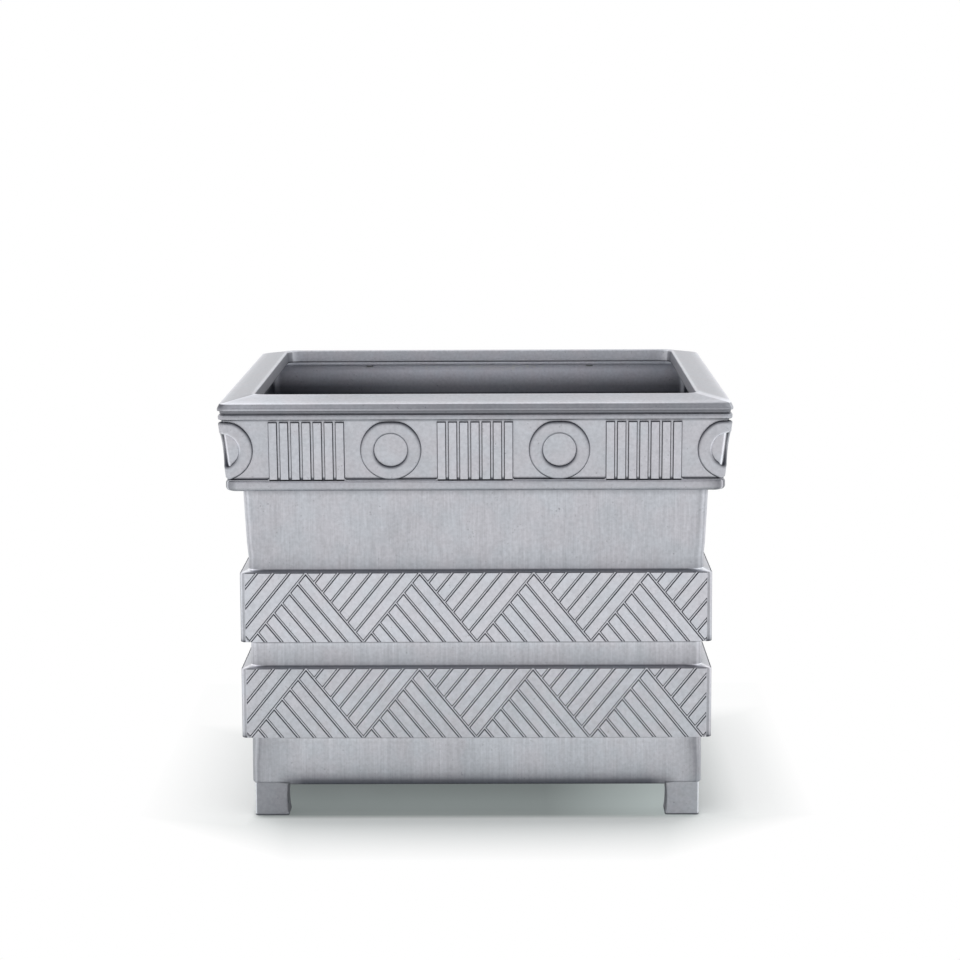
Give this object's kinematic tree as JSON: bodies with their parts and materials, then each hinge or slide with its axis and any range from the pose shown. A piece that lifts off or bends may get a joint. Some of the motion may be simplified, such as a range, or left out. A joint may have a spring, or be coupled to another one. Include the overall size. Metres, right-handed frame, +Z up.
{
  "type": "square floor planter",
  "caption": "Square footed planter of four mitred cast panels with a ring and bar frieze and zigzag bands, a sloping rim and a drained bottom plate.",
  "frame": {"origin": "middle of the square on the floor, under the feet", "axes": "+Z up, -Y towards the front of the picture, +X to its right"},
  "size_m": [0.5, 0.5, 0.4225],
  "materials": {
    "cast_aluminium": "satin, sand cast and brushed",
    "zinc_steel": "zinc plated"
  },
  "bodies": {
    "root": {"rim_frame": "cast_aluminium", "front_panel": "cast_aluminium", "right_panel": "cast_aluminium", "back_panel": "cast_aluminium", "left_panel": "cast_aluminium", "bottom_plate": "cast_aluminium", "foot_front_left": "cast_aluminium", "foot_front_right": "cast_aluminium", "foot_back_left": "cast_aluminium", "foot_back_right": "cast_aluminium", "corner_bolts": "zinc_steel", "corner_washers": "zinc_steel", "corner_nuts": "zinc_steel", "foot_bolts": "zinc_steel", "foot_washers": "zinc_steel", "rim_screws": "zinc_steel", "bottom_plate_screws": "zinc_steel"}
  },
  "joints": []
}
